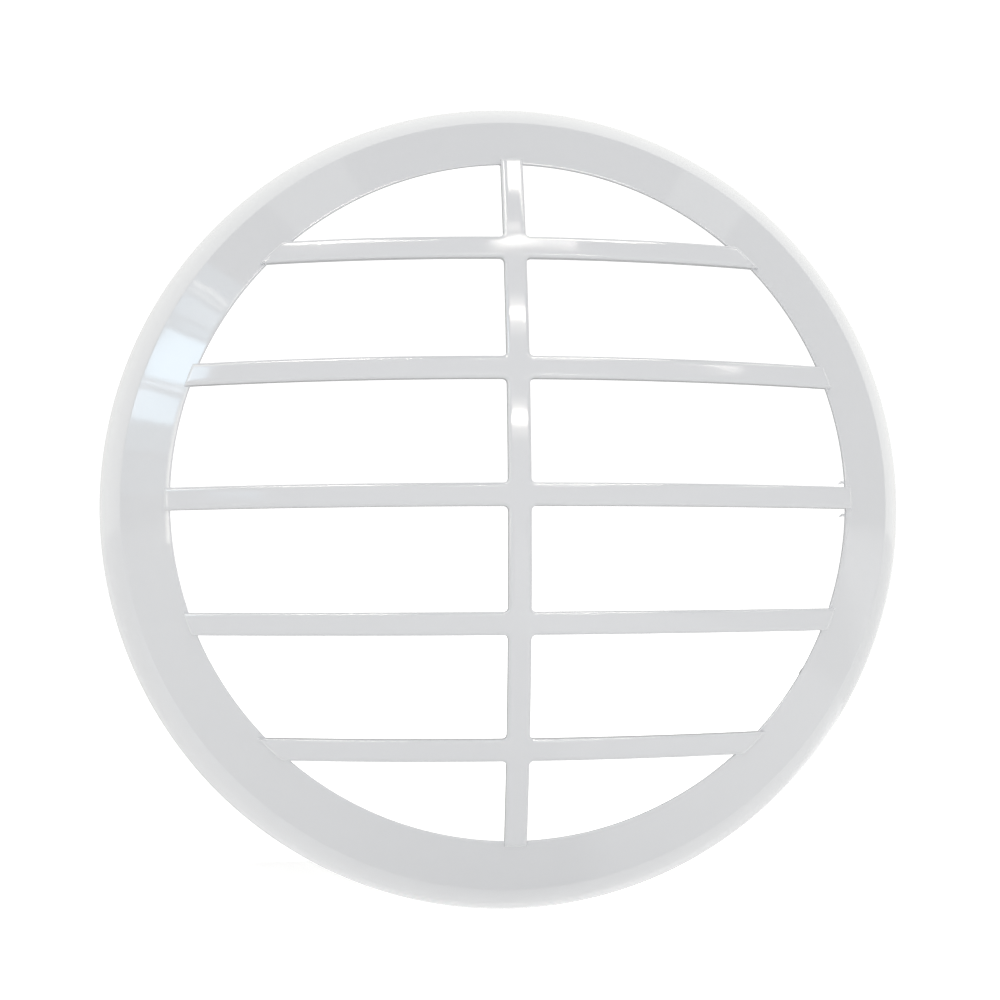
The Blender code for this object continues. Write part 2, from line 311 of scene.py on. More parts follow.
# The moulding.

BAND_SLOPE = (INNER_HEIGHT - CREST_HEIGHT) / (CREST_RADIUS - INNER_RADIUS)


def band_height(radius):
    """Height of the sloping band's outer face."""
    return INNER_HEIGHT - (radius - INNER_RADIUS) * BAND_SLOPE


def band_inside(radius):
    """Height of the sloping band's inner face."""
    return band_height(radius) - WALL * hypot(1, BAND_SLOPE)


def band_middle(radius):
    return (band_height(radius) + band_inside(radius)) / 2


def flank(inset, steps=10):
    """The rim's flank from its back edge up to the crest: an arc that bulges outwards, set in by inset."""
    run, rise = CREST_RADIUS - OUTER_RADIUS, CREST_HEIGHT
    arc_radius = hypot(run, rise) / (2 * sin(FLANK_TURN / 2))
    middle = Vector(((OUTER_RADIUS + CREST_RADIUS) / 2, CREST_HEIGHT / 2))
    centre = middle + Vector((-rise, run)).normalized() * arc_radius * cos(FLANK_TURN / 2)
    start = atan2(-centre.y, OUTER_RADIUS - centre.x)
    turns = [start + FLANK_TURN * i / steps for i in range(steps + 1)]
    radius = arc_radius - inset
    return [(centre.x + radius * cos(t), centre.y + radius * sin(t)) for t in turns]


def inside_crest():
    """Where the flank's and the band's inner faces meet."""
    for radius, height in reversed(flank(WALL, 200)):
        if height < band_inside(radius):
            return radius, height
    return CREST_RADIUS, CREST_HEIGHT


def ring():
    crest = inside_crest()
    outside = [(r, h, 0) for r, h in flank(0)[1:-1]]
    lowest, highest = RIM_BEAD_HEIGHT * 1.3, crest[1] - INSIDE_CREST_ROUNDING
    inside = [(r, h, 0) for r, h in flank(WALL) if lowest < h < highest]
    steps = 8
    width = CREST_RADIUS - INNER_RADIUS
    radii = [CREST_RADIUS - width * i / steps for i in range(1, steps)]
    band = [(r, band_height(r), 0) for r in radii]
    rim_inner = OUTER_RADIUS - RIM_EDGE_WIDTH
    edge_inner = INNER_RADIUS + EDGE_DRAFT
    outline = (
        [(OUTER_RADIUS, 0, BACK_EDGE_ROUNDING)]
        + outside
        + [(CREST_RADIUS, CREST_HEIGHT, CREST_ROUNDING)]
        + band
        + [(INNER_RADIUS, INNER_HEIGHT, EDGE_ROUNDING)]
        + [(edge_inner, band_inside(edge_inner), INSIDE_EDGE_ROUNDING)]
        + [(*crest, INSIDE_CREST_ROUNDING)]
        + inside[::-1]
        + [(rim_inner, RIM_BEAD_HEIGHT, BEAD_ROUNDING), (rim_inner, 0, BEAD_FOOT_ROUNDING)]
    )
    return turned("front_grille", eased(outline))


def dome(x, y):
    """Height of the bars' front face."""
    share = (x * x + y * y) / INNER_RADIUS**2
    return BAR_END_HEIGHT + (DOME_HEIGHT - BAR_END_HEIGHT) * (1 - share)


def slots():
    """The twelve gaps between the bars, as upright prisms with rounded corners."""
    half = BAR_WIDTH / 2
    reach = BAR_END_RADIUS + BAR_WIDTH
    edges = [-reach]
    for i in range(-BARS_EACH_SIDE, BARS_EACH_SIDE + 1):
        edges += [i * BAR_PITCH - half, i * BAR_PITCH + half]
    edges.append(reach)
    made = None
    for low, high in zip(edges[::2], edges[1::2]):
        for side in (-1, 1):
            size = (reach - half, high - low, 4 * BAR_DEPTH)
            centre = (side * (half + reach) / 2, (low + high) / 2, 0)
            if made:
                bpy.ops.mesh.primitive_cube_add(size=1, location=centre, scale=size)
            else:
                made = begin("slots", bpy.ops.mesh.primitive_cube_add, size=1, location=centre, scale=size)
    pick(made, "EDGE", lambda e: abs(e.verts[0].co.z - e.verts[1].co.z) > BAR_DEPTH)
    bpy.ops.mesh.bevel(offset=CROSSING_FILLET, segments=5, affect="EDGES")
    return facing_out(made)


def bars():
    """One plate with round ends, pierced by the slots, its front edges rounded, then bent to the dome."""
    plate = (0, 0, -BAR_DEPTH / 2)
    made = begin(
        "bars",
        bpy.ops.mesh.primitive_cylinder_add,
        vertices=RING_SIDES,
        radius=BAR_END_RADIUS,
        depth=BAR_DEPTH,
        location=plate,
    )
    combine(made, slots(), "DIFFERENCE")
    only(made)
    bpy.ops.object.mode_set(mode="EDIT")
    bpy.ops.mesh.select_all(action="SELECT")
    bpy.ops.mesh.dissolve_limited(angle_limit=radians(0.5))
    for level, width, segments in ((0, BAR_EDGE, 5), (-BAR_DEPTH, BAR_BACK_EDGE, 2)):
        pick(made, "EDGE", lambda e: on_level(e, level) and e.calc_face_angle(0) > radians(45))
        bpy.ops.mesh.bevel(offset=width, segments=segments, affect="EDGES")
    count = int(BAR_END_RADIUS / SLICE)
    for axis in (0, 1):
        for i in range(-count, count + 1):
            plane = [0.0, 0.0, 0.0]
            normal = [0.0, 0.0, 0.0]
            plane[axis] = (i + 0.5) * SLICE
            normal[axis] = 1.0
            bpy.ops.mesh.select_all(action="SELECT")
            bpy.ops.mesh.bisect(plane_co=plane, plane_no=normal)
    bpy.ops.object.mode_set(mode="OBJECT")
    for vertex in made.data.vertices:
        vertex.co.z += dome(vertex.co.x, vertex.co.y)
    return facing_out(made)


def on_level(edge, level):
    return all(abs(v.co.z - level) < 1e-6 for v in edge.verts)


def round_the_axis(made, turns):
    """Repeats what is in the mesh at each of the turns round the grille's axis."""
    only(made)
    bpy.ops.object.mode_set(mode="EDIT")
    bpy.ops.mesh.select_all(action="SELECT")
    for turn in turns:
        bpy.ops.mesh.duplicate_move()
        bpy.ops.transform.rotate(value=turn, orient_axis="Z", center_override=(0, 0, 0))
    return facing_out(made)


def ribs():
    """Webs across the inside of the ring's wall: a turned core, kept only where the webs stand."""
    crest = inside_crest()
    middle = flank(WALL / 2, 4)[2]
    inner = flank(WALL, 4)[2]
    outline = [
        (RIB_START, band_middle(RIB_START), 0),
        (crest[0], band_middle(crest[0]), 0),
        (*middle, 0),
        (inner[0] - RIB_DEPTH_AT_FLANK, inner[1], 0.0006),
        (crest[0] - RIB_BACK_IN, CREST_HEIGHT - RIB_BACK_DOWN, 0.002),
        (RIB_START, band_inside(RIB_START) - 0.0004, 0),
    ]
    core = turned("ribs", eased(outline, 3), sides=96)
    reach = OUTER_RADIUS - INNER_RADIUS
    place = ((OUTER_RADIUS + INNER_RADIUS) / 2, 0, CREST_HEIGHT)
    size = (reach, RIB_WIDTH, 2 * CREST_HEIGHT)
    webs = begin("webs", bpy.ops.mesh.primitive_cube_add, size=1, location=place, scale=size)
    step = 2 * pi / RIB_COUNT
    bpy.ops.transform.rotate(value=step / 2, orient_axis="Z", center_override=(0, 0, 0))
    combine(core, round_the_axis(webs, [step] * (RIB_COUNT - 1)), "INTERSECT")
    return core


def bosses():
    """Six screw bosses with pilot holes, cut off along the middle of the band's wall."""
    foot = BRACKET_BASE_HEIGHT + BRACKET_SHEET + GAP
    depth = SHANK_LENGTH - BRACKET_SHEET
    outline = [
        (SCREW_HOLE_RADIUS * 0.8, foot + depth),
        (SCREW_HOLE_RADIUS, foot + depth * 0.9),
        (SCREW_HOLE_RADIUS, foot + SCREW_HOLE_EDGE),
        (SCREW_HOLE_RADIUS + SCREW_HOLE_EDGE, foot),
        (BOSS_RADIUS - BOSS_EDGE, foot),
        (BOSS_RADIUS, foot + BOSS_EDGE),
        (BOSS_RADIUS + BOSS_EDGE, INNER_HEIGHT),
    ]
    made = turned("bosses", outline, SMALL_SIDES, closed=False)
    only(made)
    bpy.ops.object.mode_set(mode="EDIT")
    bpy.ops.mesh.select_all(action="SELECT")
    bpy.ops.transform.translate(value=(SCREW_SPACING, PIN_RADIUS_ON_RING, 0))
    bpy.ops.mesh.duplicate_move(TRANSFORM_OT_translate={"value": (-2 * SCREW_SPACING, 0, 0)})
    round_the_axis(made, [2 * pi / len(STATION_ANGLES)] * (len(STATION_ANGLES) - 1))
    within = RIB_START - 0.002
    below = foot - 0.001
    under_band = [
        (within, band_middle(within)),
        (CREST_RADIUS, band_middle(CREST_RADIUS)),
        (CREST_RADIUS, below),
        (within, below),
    ]
    combine(made, turned("under_band", under_band), "INTERSECT")
    return made


def gate_pad():
    """The slightly raised lens of the trimmed moulding gate, on the band at the end of the middle bar."""
    near = INNER_RADIUS + 0.0001
    eased_in = INNER_RADIUS + EDGE_ROUNDING
    far = INNER_RADIUS + PAD_BLANK_WIDTH
    raised = [
        (near, band_height(INNER_RADIUS) - PAD_ROOT),
        (near, band_height(INNER_RADIUS) - EDGE_ROUNDING / 2),
        (eased_in, band_height(eased_in) + PAD_RISE),
        (far, band_height(far) + PAD_RISE),
        (far, band_height(far) - PAD_ROOT),
    ]
    made = turned("gate_pad", raised)
    lens = begin(
        "lens",
        bpy.ops.mesh.primitive_cylinder_add,
        vertices=RING_SIDES,
        radius=PAD_RADIUS,
        depth=0.02,
        location=(*PAD_CENTRE, INNER_HEIGHT),
    )
    object_mode()
    combine(made, lens, "INTERSECT")
    only(made)
    bpy.ops.object.mode_set(mode="EDIT")
    pick(made, "EDGE", pad_rim)
    bpy.ops.mesh.bevel(offset=PAD_RISE * 0.8, segments=3, affect="EDGES")
    return facing_out(made)


def pad_rim(edge):
    """Whether an edge is where the pad's top meets its curved side."""
    centre = Vector(PAD_CENTRE)
    on_side = all(abs((v.co.xy - centre).length - PAD_RADIUS) < 0.00002 for v in edge.verts)
    on_top = all(v.co.z > band_height(v.co.xy.length) for v in edge.verts)
    return on_side and on_top


def nibs():
    """Two short hooked remains of the gate, in the opening on both sides of the middle bar's end."""
    made = None
    for offset in NIB_OFFSETS:
        place = (INNER_RADIUS + 0.0006, offset, INNER_HEIGHT - WALL * 0.7)
        settings = {"vertices": 12, "radius": NIB_RADIUS, "depth": NIB_RADIUS, "location": place}
        settings["rotation"] = (0, pi / 2, 0)
        if made:
            bpy.ops.mesh.primitive_cylinder_add(**settings)
        else:
            made = begin("nibs", bpy.ops.mesh.primitive_cylinder_add, **settings)
    for rise, slimmer in ((0.5, 1), (0.35, 0.96), (0.1, 0.94), (-0.25, 0.9), (-0.6, 0.85), (-0.8, 0.6)):
        pick(made, "FACE", lambda f: len(f.verts) > 4 and f.normal.x < -0.5)
        step = NIB_LENGTH / 6
        bpy.ops.mesh.extrude_region_move(TRANSFORM_OT_translate={"value": (-step, rise * step, 0)})
        for offset in NIB_OFFSETS:
            tip = [f for f in selected_faces(made) if abs(f.calc_center_median().y - offset) < 0.003]
            for face in tip:
                centre = face.calc_center_median()
                for vertex in face.verts:
                    vertex.co = centre + (vertex.co - centre) * slimmer
        bmesh.update_edit_mesh(made.data)
    return facing_out(made)


def selected_faces(made):
    return [f for f in bmesh.from_edit_mesh(made.data).faces if f.select]


def grille(material):
    """The one moulding: ring, bars, ribs, bosses and what is left of its gate."""
    made = ring()
    for part in (bars(), ribs(), bosses(), gate_pad(), nibs()):
        combine(made, part, "UNION")
    facing_out(made)
    smooth(made)
    flat = made.modifiers.new("flat_faces", "WEIGHTED_NORMAL")
    flat.weight = 100
    flat.keep_sharp = True
    only(made)
    bpy.ops.object.modifier_apply(modifier=flat.name)
    return finished(made, RIM_FRAME, "grille", "grille_moulding", material)


def seal(material):
    """Foam tape on the rim's back edge, its corners worn round."""
    outer = OUTER_RADIUS - SEAL_INSET
    inner = outer - SEAL_WIDTH
    corners = [(outer, -SEAL_THICKNESS), (outer, -GAP), (inner, -GAP), (inner, -SEAL_THICKNESS)]
    made = turned("foam_tape", eased([(r, h, 0.0005) for r, h in corners]))
    smooth(made, radians(60))
    return finished(made, RIM_FRAME, "grille", "foam_seal", material)


# The spring stations.


def station(turn):
    """Where a spring station is: its x points out from the axis, y round the rim, z is the height."""
    pin_place = Matrix.Translation((PIN_RADIUS_ON_RING, 0, PIN_HEIGHT))
    return RIM_FRAME @ Matrix.Rotation(turn, 4, "Z") @ pin_place


def bracket():
    """A pressed U of sheet: a base across two bosses, and two round-ended ears that hold the pin."""
    base = BRACKET_BASE_HEIGHT - PIN_HEIGHT + BRACKET_SHEET / 2
    wide = BRACKET_WIDTH / 2 - BRACKET_SHEET / 2
    flat = wide - BRACKET_BEND
    made = begin("bracket", bpy.ops.mesh.primitive_plane_add, size=1, location=(0, 0, base))
    bpy.ops.transform.resize(value=(2 * flat, BRACKET_LENGTH, 1), center_override=(0, 0, base))
    for side in (-1, 1):
        bpy.ops.mesh.select_all(action="SELECT")
        bpy.ops.mesh.bisect(plane_co=(0, side * EAR_LENGTH / 2, base), plane_no=(0, 1, 0))
    low = EAR_TIP_HEIGHT - PIN_HEIGHT
    bend = base - BRACKET_BEND
    for side in (-1, 1):
        pick(made, "EDGE", lambda e: root_of_ear(e, side * flat))
        bpy.ops.mesh.spin(steps=6, angle=side * pi / 2, center=(side * flat, 0, bend), axis=(0, 1, 0))
        bpy.ops.mesh.extrude_region_move(TRANSFORM_OT_translate={"value": (0, 0, low - bend)})
    pick(made, "VERT", lambda v: abs(v.co.z - low) < 1e-6)
    bpy.ops.mesh.bevel(offset=EAR_LENGTH * 0.36, segments=8, affect="VERTICES")
    pick(made, "VERT", lambda v: abs(abs(v.co.y) - BRACKET_LENGTH / 2) < 1e-6)
    bpy.ops.mesh.bevel(offset=BRACKET_CORNER, segments=6, affect="VERTICES")
    object_mode()
    wall = made.modifiers.new("sheet", "SOLIDIFY")
    wall.thickness = BRACKET_SHEET
    wall.offset = 0
    only(made)
    bpy.ops.object.modifier_apply(modifier=wall.name)
    facing_out(made)
    holes = begin(
        "holes",
        bpy.ops.mesh.primitive_cylinder_add,
        vertices=SMALL_SIDES,
        radius=PIN_RADIUS + GAP,
        depth=2 * BRACKET_WIDTH,
        rotation=(0, pi / 2, 0),
    )
    for side in (-1, 1):
        bpy.ops.mesh.primitive_cylinder_add(
            vertices=SMALL_SIDES,
            radius=SHANK_RADIUS + GAP,
            depth=4 * BRACKET_SHEET,
            location=(0, side * SCREW_SPACING, base),
        )
    combine(made, facing_out(holes), "DIFFERENCE")
    edge = made.modifiers.new("broken_edges", "BEVEL")
    edge.width = BRACKET_BROKEN_EDGE
    edge.segments = 2
    edge.angle_limit = radians(50)
    only(made)
    bpy.ops.object.modifier_apply(modifier=edge.name)
    smooth(made, radians(40))
    return made


def root_of_ear(edge, x):
    return all(abs(v.co.x - x) < 1e-6 and abs(v.co.y) < EAR_LENGTH / 2 + 1e-6 for v in edge.verts)


def pin():
    """A headed pin through both ears, with low domed heads."""
    half = BRACKET_WIDTH / 2 + GAP
    side = [
        (PIN_HEAD_RADIUS * 0.35, half + PIN_HEAD),
        (PIN_HEAD_RADIUS * 0.7, half + PIN_HEAD * 0.88),
        (PIN_HEAD_RADIUS * 0.94, half + PIN_HEAD * 0.55),
        (PIN_HEAD_RADIUS, half + PIN_HEAD * 0.25),
        (PIN_HEAD_RADIUS, half),
        (PIN_RADIUS, half),
        (PIN_RADIUS, half - 0.0009),
    ]
    made = turned("pin", side + [(r, -h) for r, h in side[::-1]], SMALL_SIDES, closed=False)
    made.rotation_euler.y = pi / 2
    only(made)
    bpy.ops.object.transform_apply(rotation=True)
    smooth(made, radians(40))
    return made


def screw():
    """A pan-head screw with a cross recess, its head towards the wall, and a ridged shank."""
    top = BRACKET_BASE_HEIGHT - PIN_HEIGHT - GAP
    tip = top + SHANK_LENGTH
    root = SHANK_RADIUS * 0.82
    outline = [
        (HEAD_RADIUS * 0.45, top - HEAD_HEIGHT),
        (HEAD_RADIUS * 0.74, top - HEAD_HEIGHT * 0.94),
        (HEAD_RADIUS * 0.93, top - HEAD_HEIGHT * 0.7),
        (HEAD_RADIUS, top - HEAD_HEIGHT * 0.35),
        (HEAD_RADIUS, top - HEAD_UNDER_EDGE),
        (HEAD_RADIUS - HEAD_UNDER_EDGE, top),
        (root, top),
    ]
    turns = 6
    start = top + PLAIN_SHANK
    pitch = (tip - SHANK_POINT - start) / turns
    for i in range(turns):
        foot = start + i * pitch
        outline += [
            (root, foot),
            (SHANK_RADIUS, foot + pitch * 0.4),
            (SHANK_RADIUS, foot + pitch * 0.5),
        ]
    outline += [(SHANK_RADIUS * 0.8, tip - SHANK_POINT), (SHANK_RADIUS * 0.3, tip)]
    made = turned("screw", outline, SMALL_SIDES, closed=False)
    recess = begin(
        "recess",
        bpy.ops.mesh.primitive_cube_add,
        size=1,
        location=(0, 0, top - HEAD_HEIGHT),
        scale=(HEAD_RADIUS * 1.15, HEAD_RADIUS * 0.26, HEAD_HEIGHT * 1.3),
    )
    pick(recess, "FACE", lambda f: f.normal.z > 0.5)
    bpy.ops.transform.resize(value=(0.5, 0.7, 1))
    object_mode()
    across = copied(recess, "recess_across")
    across.rotation_euler.z = pi / 2
    combine(made, recess, "DIFFERENCE")
    combine(made, across, "DIFFERENCE")
    facing_out(made)
    smooth(made, radians(35))
    return made


def spring_path(side):
    """Centre line of half a spring: its coil round the pin, then its leg and the hook at the leg's end."""
    points = []
    turns = round(COIL_TURNS * COIL_STEPS)
    first = LEG_TILT - 2 * pi * COIL_TURNS
    for i in range(turns + 1):
        share = i / turns
        turn = first + (LEG_TILT - first) * share
        x = side * (COIL_START + COIL_PITCH * COIL_TURNS * share)
        points.append(Vector((x, side * COIL_RADIUS * sin(turn), COIL_RADIUS * cos(turn))))
    start = points[-1]
    steps = 24
    for i in range(1, steps + 1):
        along = LEG_REACH * i / steps
        shift = min(1.0, along / LEG_SHIFT_END)
        eased_shift = shift * shift * (3 - 2 * shift)
        x = start.x + (LEG_PLANE - start.x) * eased_shift
        points.append(Vector((x, start.y + side * along, start.z - along * tan(LEG_TILT))))
    bend = 12
    for i in range(1, bend + 1):
        turn = -LEG_TILT + HOOK_TURN * min(1.0, 1.33 * i / bend)
        step = HOOK / bend
        points.append(points[-1] + Vector((0, side * step * cos(turn), step * sin(turn))))
    return points


def wire_half(name, side):
    """Half a spring as a round wire along its path, with its ends capped."""
    curve = bpy.data.curves.new(name, "CURVE")
    curve.dimensions = "3D"
    curve.bevel_depth = WIRE / 2
    curve.bevel_resolution = 6
    curve.use_fill_caps = True
    points = spring_path(side)
    spline = curve.splines.new("POLY")
    spline.points.add(len(points) - 1)
    for item, place in zip(spline.points, points):
        item.co = (*place, 1.0)
    made = bpy.data.objects.new(name, curve)
    bpy.context.scene.collection.objects.link(made)
    only(made)
    bpy.ops.object.convert(target="MESH")
    made = facing_out(bpy.context.object)
    smooth(made, radians(50))
    return made


def spring_stations(zinc, steel):
    """Three sprung fixings, each a bracket on two screws, with a pin and the two halves of its spring."""
    patterns = {"bracket": bracket(), "pin": pin(), "screw": screw()}
    patterns["left"] = wire_half("left", 1)
    patterns["right"] = wire_half("right", -1)
    plated = ("zinc_steel", zinc)
    sprung = ("spring_steel", steel)
    for number, turn in enumerate(STATION_ANGLES, start=1):
        place = station(turn)
        plan = [
            (f"steel_bracket_{number}", "bracket", 0, f"spring_bracket_{number}", "grille", *plated),
            (f"rivet_pin_{number}", "pin", 0, f"spring_pin_{number}", "grille", *sprung),
        ]
        for letter, offset in (("a", SCREW_SPACING), ("b", -SCREW_SPACING)):
            name = f"screw_{number}{letter}"
            plan.append((name, "screw", offset, f"bracket_{name}", "grille", *plated))
        for side in ("left", "right"):
            name = f"wire_{number}_{side}"
            plan.append((name, side, 0, f"spring_{number}_{side}", f"leg_{number}_{side}", *sprung))
        for name, pattern, offset, replaced, body, slot, material in plan:
            made = copied(patterns[pattern], name)
            finished(made, place @ Matrix.Translation((0, offset, 0)), body, replaced, material)
    for pattern in patterns.values():
        bpy.data.objects.remove(pattern)


# Finishes.


def node(tree, kind, **values):
    """A shader node, with the named inputs or settings given their values."""
    made = tree.nodes.new(kind)
    for name, value in values.items():
        words = name.replace("_", " ").title()
        if words in made.inputs:
            made.inputs[words].default_value = value
        else:
            setattr(made, name, value)
    return made


def product(tree, first, second):
    """The two outputs multiplied."""
    made = node(tree, "ShaderNodeMath", operation="MULTIPLY")
    tree.links.new(first, made.inputs[0])
    tree.links.new(second, made.inputs[1])
    return made.outputs[0]


def fine_surface():
    """Group: a surface's long ripple, fine grain and specks of dust, as a height and a mask of the specks."""
    tree = bpy.data.node_groups.new("fine_surface", "ShaderNodeTree")
    face = tree.interface
    for name, value in (("Ripple Size", 40.0), ("Ripple Height", 1.0), ("Grain Size", 900.0)):
        face.new_socket(name=name, in_out="INPUT", socket_type="NodeSocketFloat").default_value = value
    for name, value in (("Grain Height", 0.05), ("Speck Size", 260.0), ("Speck Amount", 0.1)):
        face.new_socket(name=name, in_out="INPUT", socket_type="NodeSocketFloat").default_value = value
    for name in ("Height", "Grain", "Specks"):
        face.new_socket(name=name, in_out="OUTPUT", socket_type="NodeSocketFloat")
    enter = tree.nodes.new("NodeGroupInput")
    leave = tree.nodes.new("NodeGroupOutput")
    place = tree.nodes.new("ShaderNodeTexCoord")
    link = tree.links.new
    ripple = node(tree, "ShaderNodeTexNoise", detail=1.0)
    grain = node(tree, "ShaderNodeTexNoise", detail=3.0)
    specks = node(tree, "ShaderNodeTexVoronoi")
    for texture, size in ((ripple, "Ripple Size"), (grain, "Grain Size"), (specks, "Speck Size")):
        link(place.outputs["Object"], texture.inputs["Vector"])
        link(enter.outputs[size], texture.inputs["Scale"])
    both = node(tree, "ShaderNodeMath", operation="ADD")
    link(product(tree, ripple.outputs["Fac"], enter.outputs["Ripple Height"]), both.inputs[0])
    link(product(tree, grain.outputs["Fac"], enter.outputs["Grain Height"]), both.inputs[1])
    near = node(tree, "ShaderNodeMath", operation="LESS_THAN")
    link(specks.outputs["Distance"], near.inputs[0])
    link(enter.outputs["Speck Amount"], near.inputs[1])
    link(both.outputs[0], leave.inputs["Height"])
    link(grain.outputs["Fac"], leave.inputs["Grain"])
    link(near.outputs[0], leave.inputs["Specks"])
    return tree


def finish(name, surface, low, high, roughness, bump, metallic=0.0, **settings):
    """A material whose colour and roughness vary with its grain between two values, with its own relief."""
    made = bpy.data.materials.new(name)
    made.use_nodes = True
    tree = made.node_tree
    shader = tree.nodes["Principled BSDF"]
    shader.inputs["Metallic"].default_value = metallic
    shader.inputs["IOR"].default_value = 1.5
    group = tree.nodes.new("ShaderNodeGroup")
    group.node_tree = surface
    for word, value in settings.items():
        group.inputs[word.replace("_", " ").title()].default_value = value
    link = tree.links.new
    tint = node(tree, "ShaderNodeMix", data_type="RGBA")
    tint.inputs[6].default_value = (*low, 1)
    tint.inputs[7].default_value = (*high, 1)
    link(group.outputs["Grain"], tint.inputs[0])
    link(tint.outputs[2], shader.inputs["Base Color"])
    spread = node(tree, "ShaderNodeMapRange")
    spread.inputs["To Min"].default_value = roughness[0]
    spread.inputs["To Max"].default_value = roughness[1]
    link(group.outputs["Grain"], spread.inputs["Value"])
    link(spread.outputs["Result"], shader.inputs["Roughness"])
    relief = node(tree, "ShaderNodeBump", strength=1.0, distance=bump)
    link(group.outputs["Height"], relief.inputs["Height"])
    link(relief.outputs["Normal"], shader.inputs["Normal"])
    return made


# The stage.


def camera():
    data = bpy.data.cameras.new("camera")
    data.lens = LENS
    data.sensor_width = 36
    data.clip_start = 0.01
    made = bpy.data.objects.new("camera", data)
    made.location = CAMERA_PLACE
    made.rotation_euler = CAMERA_TURN
    bpy.context.scene.collection.objects.link(made)
    bpy.context.scene.camera = made


def rim_direction(round_axis, from_axis):
    """A direction in the world, from its angles round the grille's axis and away from it, in degrees."""
    turn, tilt = radians(round_axis), radians(from_axis)
    return RIM_FRAME.to_3x3() @ Vector((sin(tilt) * cos(turn), sin(tilt) * sin(turn), cos(tilt)))


def panel(name, round_axis, from_axis, colour, radiance, aim=(0, 0, 0), distance=2.0):
    """A soft light between two angles round the grille's axis and two away from it, facing a world place."""
    tilt = sum(from_axis) / 2
    middle = rim_direction(sum(round_axis) / 2, tilt)
    along = rim_direction(round_axis[1], tilt) - rim_direction(round_axis[0], tilt)
    tall = radians(from_axis[1] - from_axis[0]) * distance
    place = Vector(aim) + middle * distance
    light(name, place, middle, along, along.length * distance, tall, colour, radiance)


def tube(name, start, end, thick, colour, radiance, aim=(0, 0, 0), distance=2.0):
    """A straight lamp between two directions in the rim's frame, facing a world place."""
    ends = [RIM_FRAME.to_3x3() @ Vector(way).normalized() * distance for way in (start, end)]
    middle = (ends[0] + ends[1]) / 2
    along = ends[1] - ends[0]
    tall = radians(thick) * distance
    light(name, Vector(aim) + middle, middle.normalized(), along, along.length, tall, colour, radiance)


def light(name, place, away, along, wide, tall, colour, radiance):
    """A lamp of one size and brightness, facing back along away. It shows in gloss only."""
    data = bpy.data.lights.new(name, "AREA")
    data.shape = "RECTANGLE"
    data.size = wide
    data.size_y = tall
    data.color = colour
    data.energy = pi * wide * tall * radiance
    made = bpy.data.objects.new(name, data)
    side = (along - away * along.dot(away)).normalized()
    turn = Matrix((side, away.cross(side), away)).transposed()
    made.matrix_world = Matrix.Translation(place) @ turn.to_4x4()
    made.visible_diffuse = False
    bpy.context.scene.collection.objects.link(made)


